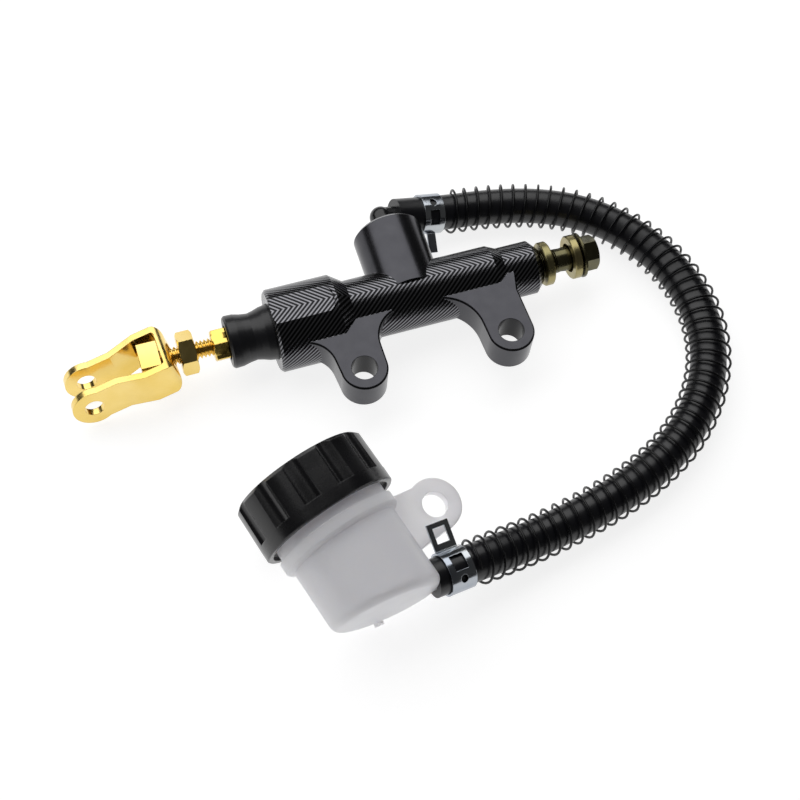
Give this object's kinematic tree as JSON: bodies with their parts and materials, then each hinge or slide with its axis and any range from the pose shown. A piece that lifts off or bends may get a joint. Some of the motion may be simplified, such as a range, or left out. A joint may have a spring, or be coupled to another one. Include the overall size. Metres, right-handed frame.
{
  "type": "brake_master_cylinder",
  "caption": "Rear hydraulic brake master cylinder with clevis push rod, banjo bolt and remote reservoir on a spring-guarded hose",
  "frame": {"origin": "midway between the two mounting holes, on the top face of the ears", "axes": "+X along the cylinder from the clevis to the outlet, +Z along the mounting holes, out of the ears' top face, +Y towards the fluid inlet"},
  "size_m": [0.2196, 0.146, 0.0467],
  "materials": {
    "body_black": "satin black anodised with fine turning marks",
    "zinc_gold": "gold-yellow zinc plating, satin",
    "zinc_olive": "dark olive zinc plating, glossy",
    "zinc_bright": "bright zinc plating",
    "washer_yellow": "plain metal washer",
    "rubber_black": "smooth extruded rubber",
    "spring_wire": "black painted wire",
    "tank_white": "translucent milky white",
    "cap_black": "satin black moulded",
    "diaphragm_rubber": "moulded rubber",
    "plate_white": "moulded",
    "elbow_plastic": "smooth black moulded",
    "piston_alloy": "machined",
    "cup_rubber": "moulded rubber",
    "steel_plain": "plain"
  },
  "bodies": {
    "cylinder": {"cylinder_body": "body_black", "inlet_elbow": "elbow_plastic", "elbow_seal": "cup_rubber", "elbow_snap_ring": "steel_plain", "hose": "rubber_black", "hose_spring_guard": "spring_wire", "upper_hose_clamp": "zinc_bright", "lower_hose_clamp": "zinc_bright", "reservoir_tank": "tank_white", "dust_boot": "rubber_black", "stop_washer": "steel_plain", "rod_snap_ring": "steel_plain", "return_spring": "steel_plain"},
    "piston": {"piston": "piston_alloy", "primary_cup": "cup_rubber", "secondary_cup": "cup_rubber", "spring_seat": "steel_plain"},
    "push_rod": {"push_rod": "zinc_gold"},
    "lock_nut": {"lock_nut": "zinc_olive"},
    "square_nut": {"square_nut": "zinc_gold"},
    "clevis": {"clevis": "zinc_gold"},
    "diaphragm": {"reservoir_diaphragm": "diaphragm_rubber", "diaphragm_plate": "plate_white"},
    "cap": {"reservoir_cap": "cap_black"},
    "outer_washer": {"outer_sealing_washer": "washer_yellow"},
    "bolt": {"banjo_bolt": "zinc_olive"},
    "inner_washer": {"inner_sealing_washer": "washer_yellow"}
  },
  "joints": [
    {"name": "piston_stroke", "type": "slide", "parent": "cylinder", "child": "piston", "axis": [1, 0, 0], "range_m": [0, 0.012], "stiffness_N_per_m": 1500, "springref_m": -0.01, "deforming": ["dust_boot", "return_spring"]},
    {"name": "push_rod_swing", "type": "hinge", "parent": "piston", "child": "push_rod", "pos_m": [-0.0315, 0.0251, -0.008], "axis": [0, 0, 1], "range_deg": [-3, 3]},
    {"name": "lock_nut_turn", "type": "hinge", "parent": "push_rod", "child": "lock_nut", "pos_m": [-0.0774, 0.0251, -0.008], "axis": [1, 0, 0], "range_deg": [-180, 180]},
    {"name": "clevis_turn", "type": "hinge", "parent": "push_rod", "child": "square_nut", "pos_m": [-0.08965, 0.0251, -0.008], "axis": [1, 0, 0], "range_deg": [-180, 180]},
    {"name": "clevis_rock", "type": "hinge", "parent": "square_nut", "child": "clevis", "pos_m": [-0.08475, 0.0251, -0.008], "axis": [-0.0506, 0.9754, -0.2145], "range_deg": [0, 22]},
    {"name": "cap_lift", "type": "slide", "parent": "cylinder", "child": "diaphragm", "axis": [-0.2979, 0.9447, 0.1374], "range_m": [0, 0.012]},
    {"name": "cap_turn", "type": "hinge", "parent": "diaphragm", "child": "cap", "pos_m": [-0.0507, -0.0467, 0.00047], "axis": [-0.2979, 0.9447, 0.1374], "range_deg": [0, 1440]},
    {"name": "bolt_travel", "type": "slide", "parent": "cylinder", "child": "outer_washer", "axis": [1, 0, 0], "range_m": [0, 0.005]},
    {"name": "bolt_turn", "type": "hinge", "parent": "outer_washer", "child": "bolt", "pos_m": [0.06, 0.0251, -0.008], "axis": [1, 0, 0], "range_deg": [0, 1440]},
    {"name": "inner_washer_slide", "type": "slide", "parent": "cylinder", "child": "inner_washer", "axis": [1, 0, 0], "range_m": [0, 0.005]}
  ],
  "couplings": [
    {"joint": "cap_lift", "follows": "cap_turn", "m_per_rad": 0.00047746},
    {"joint": "bolt_travel", "follows": "bolt_turn", "m_per_rad": 0.00019894}
  ]
}
